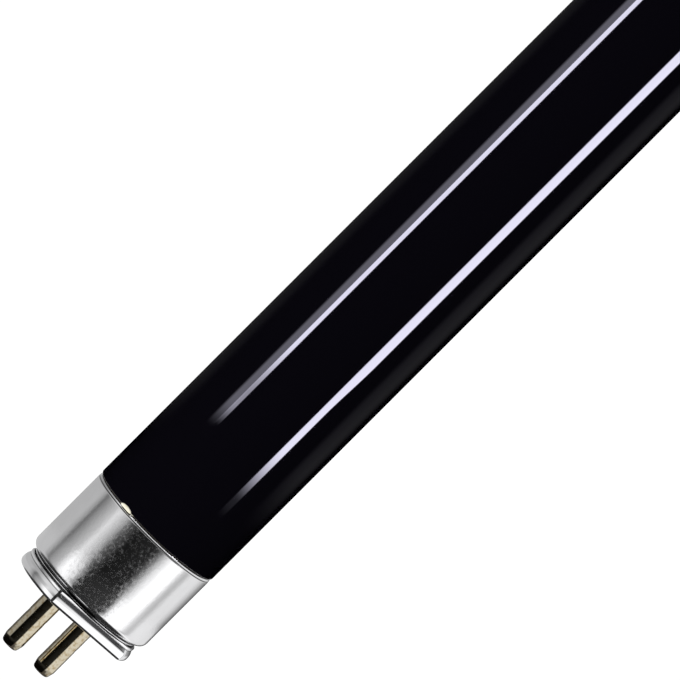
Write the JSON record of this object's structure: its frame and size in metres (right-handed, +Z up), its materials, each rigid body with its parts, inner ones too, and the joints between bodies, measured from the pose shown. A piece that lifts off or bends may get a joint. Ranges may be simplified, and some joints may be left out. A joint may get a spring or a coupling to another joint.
{
  "type": "black light fluorescent lamp",
  "caption": "Slim straight fluorescent tube in black ultraviolet filter glass, with satin aluminium two-pin caps whose ends carry brass contact pins.",
  "frame": {"origin": "the middle of the lamp, on its axis", "axes": "+X along the lamp towards its right end, +Z up with the two pins of each cap above one another, so that the flats of the caps face along Y; the pictured end is at -X"},
  "size_m": [0.3026, 0.016, 0.016],
  "materials": {
    "black_glass": "polished, nearly black violet filter glass",
    "cap_aluminium": "satin",
    "moulded_plate": "moulded phenolic",
    "pin_brass": "drawn, slightly tarnished",
    "cap_cement": "set cement",
    "lead_wire": "drawn nickel-plated wire"
  },
  "bodies": {
    "root": {"glass_tube": "black_glass", "left_cap_shell": "cap_aluminium", "right_cap_shell": "cap_aluminium", "left_insulating_plate": "moulded_plate", "right_insulating_plate": "moulded_plate", "left_upper_pin": "pin_brass", "left_lower_pin": "pin_brass", "right_upper_pin": "pin_brass", "right_lower_pin": "pin_brass", "left_cement_ring": "cap_cement", "right_cement_ring": "cap_cement", "left_upper_lead": "lead_wire", "left_lower_lead": "lead_wire", "right_upper_lead": "lead_wire", "right_lower_lead": "lead_wire"}
  },
  "joints": []
}
